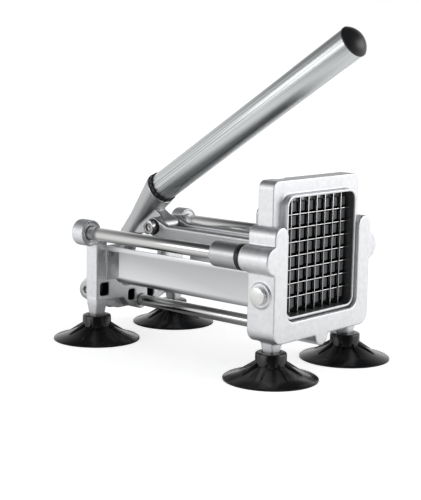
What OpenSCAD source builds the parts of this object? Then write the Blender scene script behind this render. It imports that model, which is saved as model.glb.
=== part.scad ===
// French fry cutter with a hand lever, on four suction cups.
// Millimetres. +X points to the blade outlet, +Z is up, Z = 0 is the counter.
// The origin lies under the middle of the cutter.

/* [Blade cassette] */
// Distance from one blade to the next, which is the width of a fry
blade_pitch = 9.5; // [8.6:0.1:12]
// Number of square cells across the grid
cells = 8; // [4:2:10]
// Thickness of a blade
blade_t = 0.5; // [0.3:0.1:1]
// Depth of a blade along the push direction
blade_depth = 11.4; // [6:0.2:12]
// Extra space between the outermost cells and the window's sides
edge_side = 0.2; // [0:0.05:3]
// Extra space between the outermost cells and the window's top and bottom
edge_end = 2.6; // [0.5:0.1:5]
// Depth of the cassette frame
cassette_depth = 13.4; // [12.6:0.2:20]
// Width of the cassette frame beside the window
cassette_side = 10.9; // [6:0.1:14]
// Height of the cassette frame below the window
cassette_foot = 7.9; // [5:0.1:14]
// Height of the cassette frame above the window
cassette_head = 11.9; // [8:0.1:25]
// Corner radius of the cassette frame
cassette_corner = 5.5; // [1:0.5:8]
// Corner radius of the window
window_corner = 6; // [2:0.5:8]
// Wall of the raised ring round the window
ring_wall = 2; // [1:0.1:3]
// How far the ring stands out of the cassette frame
ring_out = 4.9; // [2:0.1:7]

/* [Frames] */
// Half the distance between the front and the rear suction cups
foot_x = 86; // [70:1:120]
// Height of the front frame's underside above the counter
frame_bottom = 26; // [24:0.5:40]
// Thickness of the front frame's sill under the cassette
sill = 9; // [7:0.5:16]
// Thickness of the front frame's front wall
front_wall = 7.2; // [4:0.1:12]
// Thickness of the front frame's rear wall
rear_wall = 2.5; // [2:0.1:6]
// Thickness of the front frame's side walls
side_wall = 5.5; // [4.5:0.1:9]
// Height of the arms above the rod axis
arm_rise = 22.5; // [14:0.5:40]
// Radius of the front frame's bottom corners
frame_corner = 9; // [3:0.5:12]
// Radius of the front frame's rod bosses
boss_r = 9.5; // [8:0.1:11]
// Radius of the rear frame's rod bosses
rear_boss_r = 10; // [8.5:0.1:12]
// Depth of the rear frame along X
rear_depth = 11.7; // [10:0.1:20]
// Width of a rear upright
upright_w = 11; // [9:0.2:16]
// Radius of the lobes round the lower rod
lobe_r = 7; // [6:0.1:8]
// Width of a leg at its top
leg_top_w = 11.4; // [9.6:0.1:14]
// Width of a leg at its foot
leg_foot_w = 8.6; // [8:0.1:9.6]

/* [Rods and tray] */
// Diameter of the two guide rods
guide_rod_d = 10; // [8:0.1:11]
// Diameter of the lower rod
tie_rod_d = 9.2; // [7:0.1:10]
// Thickness of the bumper rings
bumper_t = 3.2; // [2:0.1:6]
// Thickness of the tray's sheet
sheet = 0.8; // [0.6:0.1:1.5]
// Height of the folded hem on the tray's walls
hem_h = 3.4; // [2:0.1:6]

/* [Pusher] */
// Radius of the sliding sleeves
sleeve_r = 9.3; // [8.5:0.1:10.4]
// Length of the sliding sleeves
sleeve_len = 22.8; // [16:0.2:36]
// Thickness of the pusher's plate
plate_t = 3.5; // [2.5:0.1:6]
// Height of the pusher's arms
arm_h = 14; // [8:0.5:17]
// Thickness of the finger block's base
block_base = 4; // [3:0.1:8]
// Length of a finger
finger_len = 16.8; // [14:0.1:24]
// Width of a finger at its root
finger_w = 7.6; // [5:0.1:7.8]
// Share of the root width that is left at a finger's tip
finger_taper = 0.83; // [0.7:0.01:1]

/* [Lever and link] */
// How far the lever's pivot lies behind the rear suction cups
pivot_back = 28.6; // [24:0.1:40]
// Height of the lever's pivot above the frame's underside
pivot_rise = 6; // [3:0.5:12]
// Outer radius of the pivot lugs
lug_r = 9.4; // [8:0.1:12]
// Thickness of a pivot lug
lug_t = 6; // [4:0.5:10]
// Half the distance between the pivot lugs
lug_gap_half = 19; // [16.5:0.5:22]
// Radius of the lever's round arm
arm_r = 8.2; // [6.5:0.1:9]
// Radius of all lever and link pins
pin_r = 4; // [3:0.1:4.6]
// Outer radius of the handle tube
handle_r = 11.3; // [10.5:0.1:14]
// Wall of the handle tube
handle_wall = 1; // [0.8:0.1:2]
// Length of the handle tube
handle_len = 207.4; // [150:0.1:260]
// Angle of the handle above the horizontal
handle_angle = 32.8; // [20:0.2:45]
// How far the handle's end cap stands out of the tube's side
cap_lip = 0.3; // [0.1:0.1:2]
// Height of the end cap's dome
cap_dome = 6; // [3:0.2:9]
// Half the width of the link
link_half_w = 14.3; // [12:0.1:18.3]
// Thickness of the link's side ribs
link_rib = 6; // [4:0.1:6.4]
// Height of the link's side ribs
link_h = 12.6; // [9:0.1:15]

/* [Suction cups] */
// Radius of a suction cup's rim
cup_r = 33; // [24:0.5:38]
// Radius of a cup's collar
collar_r = 10.9; // [9.5:0.1:14]
// Height of a cup's collar top above the counter
collar_top = 19; // [16:0.5:22]

/* [Hidden] */
$fn = 64;

// Clearances
slide_gap = 0.2; // between the cassette and its slot, front and back
side_gap = 0.4; // between the cassette and its slot, at each side
fit = 0.05; // radial, where something turns or slides
seat = 0.02; // radial, where something is fixed in a hole
stop_gap = 0.2; // between the sleeves and the bumper rings
eps = 0.01; // lets cuts run just past a face

// Window and frame, seen from the front
window_half_w = cells * blade_pitch / 2 + edge_side;
window_half_h = cells * blade_pitch / 2 + edge_end;
cassette_half = window_half_w + cassette_side;
frame_half = cassette_half + side_gap + side_wall;
opening_half = window_half_w + ring_wall + side_gap;
slot_half = cassette_half + side_gap;
cassette_bottom = frame_bottom + sill;
axis_z = cassette_bottom + cassette_foot + window_half_h;
cassette_top = axis_z + window_half_h + cassette_head;
opening_bottom = axis_z - window_half_h - ring_wall - 1;
arm_top = axis_z + arm_rise;
arm_w = frame_half - opening_half;
rod_y = frame_half - 1;
leg_y = frame_half - 11.8;
tie_z = frame_bottom - 0.8;

// Front frame along X
front_x = foot_x + 11;
slot_front = front_x - front_wall;
slot_rear = slot_front - cassette_depth - 2 * slide_gap;
frame_rear = slot_rear - rear_wall;
cassette_rear = slot_rear + slide_gap;
cassette_front = cassette_rear + cassette_depth;
blade_front = cassette_front - 0.4;
blade_rear = blade_front - blade_depth;
boss_out = 2.5;
boss_face = frame_rear - boss_out;

// Detent in the near arm
detent_x = front_x - 11.6;
detent_z = axis_z - 24.1;
detent_ring_r = 8.65;
detent_ring_out = 1.6;
plug_head_r = 6.1;
plug_head_out = 3.4;
plug_shank_r = 4;
plug_depth = 3.4;
ball_r = 2.5;
ball_y = -cassette_half - ball_r + 0.9;

// Rear frame along X
rear_face = -foot_x + 5.4;
rear_back = rear_face - rear_depth;
bar_bottom = frame_bottom + 3.5;
bar_top = frame_bottom + 21;
bar_mid_top = frame_bottom + 13;
wing_in = 21;
wing_t = 4;
boss_lip = 1.1;
boss_recess = 1;

// Rods
guide_r = guide_rod_d / 2;
tie_r = tie_rod_d / 2;
rod_back_wall = 4;
rod_rear_end = rear_back + rod_back_wall;
rod_shoulder = slot_rear - 0.7;
rod_tip_r = 3;
rod_tip_end = slot_front + 1.2;
end_screw_r = 2.5;
end_screw_len = 12;
end_screw_head_r = 4.5;
end_screw_head_h = 2.7;

// Tray
tray_half = window_half_w + 2.1;
tray_bottom = axis_z - window_half_h + 2.1;
tray_top = axis_z - sleeve_r - 1.4;
tray_bend = 5.3;
tray_front = frame_rear - 0.2;
tray_notch = rear_face + 15.6;
tray_floor_rear = rear_face + 12.6;
ear_bottom = tray_bottom + 0.8;
ear_screw_y = tray_half - 4.7;
ear_screw_z = tray_top - 6.4;
front_ear_out = 9.4;
tray_screw_r = 1.5;
tray_screw_head_r = 2.8;
tray_screw_head_h = 1.8;

// Pusher
sleeve_front = boss_face - bumper_t - stop_gap;
sleeve_rear = sleeve_front - sleeve_len;
bush_r = guide_r + 1.5;
bush_len = 8;
tip_inset = 2.4;
finger_tip = blade_front - tip_inset;
block_front = finger_tip - finger_len;
block_rear = block_front - block_base;
plate_rear = block_rear - plate_t;
block_half = (cells - 1) * blade_pitch / 2 + finger_w / 2;
plate_half = block_half - 5.4;
block_screw_y = plate_half - 12;
block_screw_z = plate_half - 10;
block_screw_r = 2;
block_screw_depth = 3;
lug_half_w = link_half_w - link_rib - 0.5;

// Linkage points, as [x, z]
pivot = [-foot_x - pivot_back, frame_bottom + pivot_rise];
rear_pin = pivot + [60, 55.5];
front_pin = [plate_rear - 13.5, axis_z];
arm_bend = pivot + [21.5, 44.5];
arm_end = pivot + [48, 79.5];
handle_foot = pivot + [56.1, 84.5];
hub_half_w = lug_gap_half - 0.6;
bush_flange_t = 0.5;
hub_r = lug_r - 0.5;
link_ear_r = 7.2;
fork_ear_r = 8;
link_dir = front_pin - rear_pin;
link_len = norm(link_dir);
link_tilt = -atan2(link_dir[1], link_dir[0]);
link_body_tilt = link_tilt - 1.9;
link_rise = 2.4;
ear_proud = 0.2;
pin_head_r = 5.5;
pivot_head_r = 6.9;
pin_head_h = 4.6;
washer_t = 1.5;
washer_r = 6.2;
socket_r = 2.9;
nut_r = 7.5;
nut_h = 6.5;
handle_dir = [cos(handle_angle), sin(handle_angle)];
collar_from = -1.4;
collar_to = 1.6;
collar_out = 1.1;
socket_lip = 1.6;
socket_rim = 2;
flare_start = 0.35;
lug_web_up = [3, 6.4];
lug_web_down = [-2, -6.8];
lug_web_top = 8;
ear_foot = [16, 0.2];
spigot_len = 34;

// Suction cup profile
collar_foot = 10.6;
cup_recess_r = 6.2;
cup_recess = 4.8;
leg_foot_z = collar_top - cup_recess;
leg_curve = 9;
leg_cut = 0.8;
foot_cut = 2;
stud_r = 3;
stud_up = 10;

// ---------- helpers ----------

// A Y-Z outline extruded along +X from x0 to x1
module along_x(x0, x1) {
    translate([x0, 0, 0])
        rotate([90, 0, 90])
            linear_extrude(x1 - x0)
                children();
}

// An X-Z outline extruded along +Y from y0 to y1
module along_y(y0, y1) {
    translate([0, y1, 0])
        rotate([90, 0, 0])
            linear_extrude(y1 - y0)
                children();
}

// A round bar along X, on the axis through y, z
module bar_x(x0, x1, y, z, r) {
    translate([x0, y, z])
        rotate([0, 90, 0])
            cylinder(r = r, h = x1 - x0);
}

// A round bar along Y, on the axis through the point p = [x, z]
module bar_y(y0, y1, p, r) {
    translate([p[0], y1, p[1]])
        rotate([90, 0, 0])
            cylinder(r = r, h = y1 - y0);
}

// A hexagonal bar along Y
module hex_y(y0, y1, p, r) {
    translate([p[0], y1, p[1]])
        rotate([90, 0, 0])
            cylinder(r = r, h = y1 - y0, $fn = 6);
}

// A centred rectangle with round corners
module round_rect(w, h, r) {
    square([w - 2 * r, h], center = true);
    square([w, h - 2 * r], center = true);
    for (x = [-1, 1], y = [-1, 1])
        translate([x * (w / 2 - r), y * (h / 2 - r)])
            circle(r);
}

// A rectangle between two heights, with round bottom corners and a square top
module cradle(half, bottom, top, r) {
    translate([-half, bottom + r])
        square([2 * half, top - bottom - r]);
    translate([-half + r, bottom])
        square([2 * (half - r), r + eps]);
    for (side = [-1, 1])
        translate([side * (half - r), bottom + r])
            circle(r);
}

module both_sides() {
    children();
    mirror([0, 1, 0])
        children();
}

// Moves children so that their Z axis is the handle's axis, from the handle's foot
module on_handle(s) {
    translate([handle_foot[0], 0, handle_foot[1]])
        rotate([0, 90 - handle_angle, 0])
            translate([0, 0, s])
                children();
}

// A round bar in the plane Y = 0 between two [x, z] points
module round_arm(a, b, r) {
    d = b - a;
    translate([a[0], 0, a[1]])
        rotate([0, 90 - atan2(d[1], d[0]), 0])
            cylinder(r = r, h = norm(d));
}

// ---------- legs and cups ----------

// A square of width w with its corners cut off
module leg_section(w, cut) {
    h = w / 2;
    polygon([
        [-h + cut, -h], [h - cut, -h], [h, -h + cut], [h, h - cut],
        [h - cut, h], [-h + cut, h], [-h, h - cut], [-h, -h + cut]
    ]);
}

module leg(x, y, top) {
    translate([x, y, 0])
        hull() {
            translate([0, 0, leg_foot_z])
                linear_extrude(eps)
                    leg_section(leg_foot_w, foot_cut);
            translate([0, 0, collar_top + leg_curve / 2])
                linear_extrude(eps)
                    leg_section((leg_foot_w + 2 * leg_top_w) / 3, (foot_cut + leg_cut) / 2);
            translate([0, 0, min(collar_top + leg_curve, top - 1)])
                linear_extrude(eps)
                    leg_section(leg_top_w, leg_cut);
            translate([0, 0, top])
                linear_extrude(eps)
                    leg_section(leg_top_w, leg_cut);
        }
}

module stud_bore(x, y) {
    translate([x, y, leg_foot_z - 1])
        cylinder(r = stud_r + seat, h = stud_up + 1.2);
}

module cup_stud(grow) {
    translate([0, 0, 6 - grow])
        cylinder(r = stud_r + grow, h = leg_foot_z + stud_up - 6 + grow);
    translate([0, 0, 7 - grow])
        cylinder(r = 7 + grow, h = 2 + 2 * grow);
}

module suction_cup() {
    rib_count = 8;
    difference() {
        union() {
            rotate_extrude()
                polygon([
                    [0, 5], [cup_r * 0.72, 2.4], [cup_r - 1.6, 0], [cup_r, 0], [cup_r, 0.9],
                    [cup_r - 0.9, 1.5], [cup_r * 0.7, 4.2], [collar_r + 1.2, collar_foot - 0.8],
                    [collar_r, collar_foot], [collar_r, collar_top - 1.2],
                    [collar_r - 0.35, collar_top - 0.4], [collar_r - 1.2, collar_top],
                    [cup_recess_r + 0.7, collar_top], [cup_recess_r, collar_top - 0.7],
                    [cup_recess_r, leg_foot_z], [0, leg_foot_z]
                ]);
            for (i = [0 : rib_count - 1])
                rotate([0, 0, (i + 0.5) * 360 / rib_count])
                    translate([0, 0.5, 0])
                        rotate([90, 0, 0])
                            linear_extrude(1)
                                polygon([
                                    [collar_r - 1, 6], [cup_r * 0.72, 3.6], [cup_r * 0.66, 5.4],
                                    [collar_r, collar_foot + 2]
                                ]);
        }
        cup_stud(seat);
    }
}

module cup_at(x, y) {
    color([0.09, 0.09, 0.09])
        translate([x, y, 0])
            suction_cup();
}

module suction_cup_front_near() { cup_at(foot_x, -leg_y); }
module suction_cup_front_far() { cup_at(foot_x, leg_y); }
module suction_cup_rear_near() { cup_at(-foot_x, -leg_y); }
module suction_cup_rear_far() { cup_at(-foot_x, leg_y); }

module cup_studs() {
    color([0.75, 0.75, 0.76])
        for (x = [-foot_x, foot_x], y = [-leg_y, leg_y])
            translate([x, y, 0])
                cup_stud(0);
}

// ---------- front frame ----------

// The outline seen from the front: two arms with round tops on a sill
module front_outline() {
    tip = arm_w / 2;
    difference() {
        union() {
            cradle(frame_half, frame_bottom, arm_top - tip, frame_corner);
            for (side = [-1, 1])
                translate([side * (frame_half - tip), arm_top - tip])
                    circle(tip);
        }
        cradle(opening_half, opening_bottom, arm_top + 1, window_corner + ring_wall);
    }
}

module front_frame() {
    pocket_w = 21;
    pocket_y = frame_half - 27.5;
    pocket_depth = 5;
    color([0.82, 0.82, 0.83])
        difference() {
            union() {
                along_x(frame_rear, front_x)
                    front_outline();
                // lobe round the lower rod
                bar_x(frame_rear, front_x, 0, tie_z, lobe_r);
                along_x(frame_rear, front_x)
                    translate([-lobe_r, tie_z])
                        square([2 * lobe_r, 6]);
                both_sides() {
                    // rod boss and the lobe that it makes on the front wall
                    bar_x(boss_face, slot_front + eps, rod_y, axis_z, boss_r - 0.2);
                    bar_x(slot_front, front_x, rod_y, axis_z, boss_r);
                }
                for (y = [-leg_y, leg_y])
                    leg(foot_x, y, frame_bottom + 1);
                // seat of the detent
                bar_y(-frame_half - detent_ring_out, -frame_half + 2, [detent_x, detent_z], detent_ring_r);
            }
            // slot for the cassette, open at the top
            translate([slot_rear, -slot_half, cassette_bottom - 0.1])
                cube([slot_front - slot_rear, 2 * slot_half, arm_top]);
            // core pockets in the underside
            for (side = [-1, 1])
                translate([frame_rear + 3.5, side * pocket_y - pocket_w / 2, frame_bottom - 1])
                    cube([front_x - frame_rear - 7, pocket_w, pocket_depth + 1]);
            both_sides() {
                bar_x(boss_face - 1, rod_shoulder + 0.3, rod_y, axis_z, guide_r + seat);
                bar_x(rod_shoulder, rod_tip_end + 0.3, rod_y, axis_z, rod_tip_r + seat);
                stud_bore(foot_x, leg_y);
            }
            bar_x(frame_rear - 1, slot_front - 1, 0, tie_z, tie_r + seat);
            // detent: screw hole, then the ball's hole into the slot
            bar_y(-frame_half - 3, -frame_half - detent_ring_out + plug_depth + 0.2,
                [detent_x, detent_z], plug_shank_r + seat);
            bar_y(-frame_half, -slot_half + 1, [detent_x, detent_z], ball_r + fit);
            // screw holes for the tray's front ears
            for (side = [-1, 1])
                bar_x(frame_rear - 1, slot_rear - 0.3, side * (tray_half + front_ear_out - 3.8),
                    ear_screw_z, tray_screw_r + seat);
        }
}

// ---------- rear frame ----------

module bar_outline() {
    outer = leg_y + upright_w / 2;
    half = [
        [outer, frame_bottom + 5], [leg_y - 8.2, bar_bottom], [20, bar_bottom], [13, frame_bottom - 4],
        [-13, frame_bottom - 4], [-20, bar_bottom], [-leg_y + 8.2, bar_bottom], [-outer, frame_bottom + 5],
        [-outer, bar_top], [-leg_y + 5.5, bar_top], [-leg_y + 13, bar_top - 4.5], [-18, bar_mid_top],
        [18, bar_mid_top], [leg_y - 13, bar_top - 4.5], [leg_y - 5.5, bar_top], [outer, bar_top]
    ];
    polygon(half);
}

// The lug outline in X-Z: a plate from the cross bar that ends round the pivot
module pivot_lug_outline() {
    root = rear_back + 1;
    translate(pivot)
        circle(lug_r);
    polygon([
        [root, frame_bottom + 18], [pivot[0] + 3, pivot[1] + lug_r * 0.95], [pivot[0], pivot[1] + lug_r],
        [pivot[0], pivot[1] - lug_r], [root, frame_bottom - 5.5]
    ]);
}

// Joins an upright to its rod boss, seen from the front
module shoulder_outline() {
    inner = leg_y - upright_w / 2;
    outer = leg_y + upright_w / 2;
    polygon([
        [inner, axis_z - 22], [outer, axis_z - 22], [outer, axis_z - rear_boss_r + 2],
        [rod_y, axis_z], [outer - 2, axis_z + 1], [inner + 3, axis_z - 3.5], [inner, axis_z - 7]
    ]);
}

module core_pocket(y, z, w, h) {
    depth = 8;
    along_x(rear_face - depth, rear_face + 1)
        translate([y, z])
            round_rect(w, h, 2);
}

module rear_frame() {
    color([0.80, 0.80, 0.81])
        difference() {
            union() {
                along_x(rear_back, rear_face)
                    bar_outline();
                // lower web behind the front face
                along_x(rear_back, rear_back + 5)
                    polygon([
                        [leg_y - 5.8, bar_bottom + 2], [leg_y - 5.8, frame_bottom], [leg_y - 15.5, frame_bottom - 3.5],
                        [19, frame_bottom - 5.8], [-19, frame_bottom - 5.8], [-leg_y + 15.5, frame_bottom - 3.5],
                        [-leg_y + 5.8, frame_bottom], [-leg_y + 5.8, bar_bottom + 2]
                    ]);
                bar_x(rear_back, rear_face, 0, tie_z, lobe_r);
                both_sides() {
                    translate([rear_back, leg_y - upright_w / 2, frame_bottom + 5])
                        cube([rear_depth, upright_w, axis_z - 12 - frame_bottom]);
                    along_x(rear_back, rear_face)
                        shoulder_outline();
                    bar_x(rear_back, rear_face, rod_y, axis_z, rear_boss_r);
                    // wing that carries the tray's ear
                    translate([rear_face - wing_t, wing_in, bar_top - 6])
                        cube([wing_t, leg_y - wing_in, tray_top - 1.8 - bar_top + 6]);
                    along_y(lug_gap_half, lug_gap_half + lug_t)
                        pivot_lug_outline();
                }
                for (y = [-leg_y, leg_y])
                    leg(-foot_x, y, frame_bottom + 6);
            }
            both_sides() {
                bar_x(rod_rear_end - 0.2, rear_face + 1, rod_y, axis_z, guide_r + seat);
                bar_x(rear_face - boss_recess, rear_face + 1, rod_y, axis_z, rear_boss_r - boss_lip);
                bar_x(rear_back - 1, rod_rear_end, rod_y, axis_z, end_screw_r + 0.2);
                bar_x(rear_face - wing_t - 1, rear_face + 1, ear_screw_y, ear_screw_z, tray_screw_r + seat);
                stud_bore(-foot_x, leg_y);
                core_pocket(leg_y - 3.2, frame_bottom + 12.6, 9.6, 10);
                core_pocket(10.6, frame_bottom + 4.6, 7.6, 8.6);
            }
            bar_x(rod_rear_end - 0.2, rear_face + 1, 0, tie_z, tie_r + seat);
            bar_x(rear_back - 1, rod_rear_end, 0, tie_z, end_screw_r + 0.2);
            bar_y(-lug_gap_half - lug_t - 1, lug_gap_half + lug_t + 1, pivot, pin_r + seat);
        }
}

// ---------- rods, rings and screws ----------

module guide_rod(y) {
    color([0.86, 0.86, 0.87])
        difference() {
            union() {
                bar_x(rod_rear_end, rod_shoulder, y, axis_z, guide_r);
                bar_x(rod_shoulder - 1, rod_tip_end, y, axis_z, rod_tip_r);
            }
            bar_x(rod_rear_end - 1, rod_rear_end + end_screw_len, y, axis_z, end_screw_r + seat);
        }
}

module guide_rod_near() { guide_rod(-rod_y); }
module guide_rod_far() { guide_rod(rod_y); }

module tie_rod() {
    color([0.86, 0.86, 0.87])
        difference() {
            bar_x(rod_rear_end, slot_front - 1.3, 0, tie_z, tie_r);
            bar_x(rod_rear_end - 1, rod_rear_end + end_screw_len, 0, tie_z, end_screw_r + seat);
        }
}

module rod_end_screws() {
    color([0.7, 0.7, 0.72])
        for (p = [[-rod_y, axis_z], [rod_y, axis_z], [0, tie_z]])
            difference() {
                union() {
                    bar_x(rear_back - end_screw_head_h, rear_back, p[0], p[1], end_screw_head_r);
                    bar_x(rear_back - eps, rod_rear_end + end_screw_len - 2, p[0], p[1], end_screw_r);
                }
                translate([rear_back - end_screw_head_h - 1, p[0], p[1]])
                    rotate([0, 90, 0])
                        cylinder(r = 1.7, h = 2.6, $fn = 6);
            }
}

module bumper_ring(y) {
    color([0.08, 0.08, 0.08])
        difference() {
            bar_x(boss_face - bumper_t, boss_face - 0.02, y, axis_z, sleeve_r);
            bar_x(boss_face - bumper_t - 1, boss_face + 1, y, axis_z, guide_r + seat);
        }
}

module bumper_ring_near() { bumper_ring(-rod_y); }
module bumper_ring_far() { bumper_ring(rod_y); }

// ---------- tray ----------

module tray_section() {
    difference() {
        cradle(tray_half, tray_bottom, tray_top, tray_bend);
        cradle(tray_half - sheet, tray_bottom + sheet, tray_top + 1, tray_bend - sheet);
    }
}

module hem_section() {
    for (side = [-1, 1])
        translate([side * tray_half - sheet, tray_top - hem_h])
            square([2 * sheet, hem_h]);
}

module tray() {
    color([0.78, 0.78, 0.79])
        difference() {
            union() {
                along_x(tray_notch, tray_front)
                    tray_section();
                // the floor runs a little further back than the walls
                along_x(tray_floor_rear, tray_notch + eps)
                    intersection() {
                        tray_section();
                        translate([-tray_half, tray_bottom])
                            square([2 * tray_half, tray_bend]);
                    }
                along_x(rear_face, tray_front)
                    hem_section();
                both_sides() {
                    // rear ear, turned in against the rear frame's wing
                    translate([rear_face, wing_in, ear_bottom])
                        cube([sheet, tray_half - sheet - wing_in - 1, tray_top - ear_bottom]);
                    translate([rear_face, tray_half - sheet - 2, tray_top - hem_h])
                        cube([sheet, 2 + eps, hem_h]);
                    // front ear, turned out against the front frame
                    translate([tray_front - sheet, tray_half - eps, ear_bottom + 4])
                        cube([sheet, front_ear_out, tray_top - ear_bottom - 5]);
                }
            }
            for (side = [-1, 1]) {
                bar_x(rear_face - 1, rear_face + 2, side * ear_screw_y, ear_screw_z, tray_screw_r + seat);
                bar_x(tray_front - 2, tray_front + 1, side * (tray_half + front_ear_out - 3.8),
                    ear_screw_z, tray_screw_r + seat);
            }
        }
}

// A pan-head screw along X; its head sits on the face x and points along dir
module pan_screw(x, y, z, dir, len) {
    translate([x, y, z])
        rotate([0, 90 * dir, 0])
            difference() {
                union() {
                    cylinder(r = tray_screw_head_r, h = tray_screw_head_h);
                    translate([0, 0, -len])
                        cylinder(r = tray_screw_r, h = len + eps);
                }
                for (a = [0, 90])
                    rotate([0, 0, a])
                        translate([-1.6, -0.3, tray_screw_head_h - 0.9])
                            cube([3.2, 0.6, 1]);
            }
}

module tray_screws() {
    color([0.6, 0.6, 0.61])
        for (side = [-1, 1]) {
            pan_screw(rear_face + sheet, side * ear_screw_y, ear_screw_z, 1, wing_t);
            pan_screw(tray_front - sheet, side * (tray_half + front_ear_out - 3.8), ear_screw_z,
                -1, sheet + 0.2 + rear_wall - 0.4);
        }
}

// ---------- lever pivot and detent ----------

module button_head(y, p, r, h) {
    difference() {
        bar_y(y - h, y, p, r);
        hex_y(y - h - 1, y - h + 2.4, p, socket_r);
    }
}

module pivot_bolt() {
    side = lug_gap_half + lug_t;
    color([0.72, 0.72, 0.74]) {
        button_head(-side, pivot, pivot_head_r, 3.6);
        bar_y(-side - eps, side + nut_h + 0.8, pivot, pin_r);
    }
}

module lock_nut(y, p) {
    difference() {
        union() {
            hex_y(y, y + nut_h - 1.8, p, nut_r);
            bar_y(y, y + nut_h, p, nut_r * 0.82);
        }
        bar_y(y - 1, y + nut_h + 1, p, pin_r + seat);
    }
}

module pivot_nut() {
    color([0.7, 0.7, 0.72])
        lock_nut(lug_gap_half + lug_t, pivot);
}

module detent_plug() {
    face = -frame_half - detent_ring_out;
    p = [detent_x, detent_z];
    color([0.78, 0.78, 0.79])
        difference() {
            union() {
                bar_y(face - plug_head_out, face - plug_head_out + 1.1, p, plug_head_r);
                bar_y(face - plug_head_out + 1, face - plug_head_out + 1.8, p, plug_head_r - 0.5);
                bar_y(face - plug_head_out + 1.7, face, p, plug_head_r);
                bar_y(face - eps, face + plug_depth, p, plug_shank_r);
            }
            bar_y(face - 1.9, face + plug_depth + 1, p, ball_r + fit);
        }
}

module detent_spring() {
    coil_r = ball_r - 0.5;
    from = -frame_half - detent_ring_out - 1.85;
    to = ball_y - ball_r;
    color([0.6, 0.6, 0.62])
        translate([detent_x, to, detent_z])
            rotate([90, 0, 0])
                linear_extrude(to - from, twist = 1440, $fn = 12)
                    translate([coil_r, 0])
                        circle(0.4, $fn = 6);
}

module detent_ball() {
    color([0.8, 0.8, 0.82])
        translate([detent_x, ball_y, detent_z])
            sphere(ball_r);
}

// ---------- lever ----------

module lever_arm() {
    lug = lug_half_w;
    web = 5.5;
    along = (arm_end - arm_bend) / norm(arm_end - arm_bend);
    flare_foot = arm_bend + flare_start * (arm_end - arm_bend);
    seat_gap = 0.2;
    color([0.74, 0.74, 0.75])
        difference() {
            union() {
                bar_y(-hub_half_w, hub_half_w, pivot, hub_r);
                round_arm(pivot, arm_bend, arm_r);
                translate([arm_bend[0], 0, arm_bend[1]])
                    sphere(arm_r + 0.2);
                round_arm(arm_bend, arm_end, arm_r);
                // the arm flares out to the socket's rim
                hull() {
                    translate([flare_foot[0], 0, flare_foot[1]])
                        rotate([0, 90 - atan2(along[1], along[0]), 0])
                            cylinder(r = arm_r - 0.1, h = 1);
                    on_handle(collar_from - seat_gap - socket_rim)
                        cylinder(r = handle_r + socket_lip, h = socket_rim);
                }
                // spigot inside the tube
                on_handle(collar_from - socket_rim)
                    cylinder(r = handle_r - handle_wall - fit, h = socket_rim + spigot_len);
                // lug for the link, with a web to the arm
                bar_y(-lug, lug, rear_pin, link_ear_r - 0.2);
                along_y(-web, web)
                    polygon([
                        arm_end - along * lug_web_top, rear_pin + lug_web_up, rear_pin,
                        rear_pin + lug_web_down, arm_bend + along * 2
                    ]);
            }
            bar_y(-lug_gap_half, lug_gap_half, pivot, pin_r + 1.5 + seat);
            bar_y(-lug_gap_half, lug_gap_half, rear_pin, pin_r + fit);
        }
}

module pivot_bushes() {
    len = 10;
    color([0.62, 0.5, 0.3])
        both_sides()
            difference() {
                union() {
                    bar_y(hub_half_w - len, hub_half_w, pivot, pin_r + 1.5);
                    bar_y(hub_half_w, hub_half_w + bush_flange_t, pivot, hub_r - 1);
                }
                bar_y(hub_half_w - len - 1, hub_half_w + 2, pivot, pin_r + fit);
            }
}

module handle_tube() {
    color([0.80, 0.80, 0.81])
        on_handle(collar_from)
            difference() {
                cylinder(r = handle_r, h = handle_len);
                translate([0, 0, -1])
                    cylinder(r = handle_r - handle_wall, h = handle_len + 2);
            }
}

module handle_collar() {
    scallops = 16;
    ring_r = handle_r + collar_out;
    color([0.07, 0.07, 0.07])
        on_handle(collar_from)
            difference() {
                cylinder(r = ring_r, h = collar_to - collar_from);
                translate([0, 0, -1])
                    cylinder(r = handle_r + seat, h = collar_to - collar_from + 2);
                for (i = [0 : scallops - 1])
                    rotate([0, 0, i * 360 / scallops])
                        translate([ring_r + 0.7, 0, -1])
                            cylinder(r = 1.3, h = collar_to - collar_from + 2);
            }
}

module handle_cap() {
    flange = 1;
    plug_len = 14;
    ridge = 1.5;
    cap_r = handle_r + cap_lip;
    dome_r = (cap_r * cap_r + cap_dome * cap_dome) / (2 * cap_dome);
    plug_r = handle_r - handle_wall - seat;
    color([0.06, 0.06, 0.06])
        on_handle(collar_from + handle_len) {
            cylinder(r = cap_r, h = flange + eps);
            // ridged plug inside the tube
            translate([0, 0, -plug_len])
                cylinder(r = plug_r - 0.6, h = plug_len + eps);
            for (z = [-plug_len + 2 : 4 : -ridge - 1])
                translate([0, 0, z])
                    cylinder(r = plug_r, h = ridge);
            intersection() {
                translate([0, 0, flange])
                    cylinder(r = cap_r, h = cap_dome);
                translate([0, 0, flange + cap_dome - dome_r])
                    sphere(dome_r, $fn = 128);
            }
        }
}

// ---------- link ----------

// Section across the link, with z measured from the line of the pins
module link_section() {
    inner = link_half_w - link_rib;
    top = link_rise;
    r = link_rib / 2;
    for (side = [-1, 1])
        translate([side * (inner + r), top - link_h / 2])
            round_rect(link_rib - 2 * ear_proud, link_h, r - 2 * ear_proud);
}

module link_web_section() {
    inner = link_half_w - link_rib;
    translate([-inner - 1, link_rise - link_h * 0.6])
        square([2 * inner + 2, 3]);
}

module at_rear_pin() {
    translate([rear_pin[0], 0, rear_pin[1]])
        rotate([0, link_body_tilt, 0])
            children();
}

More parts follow.
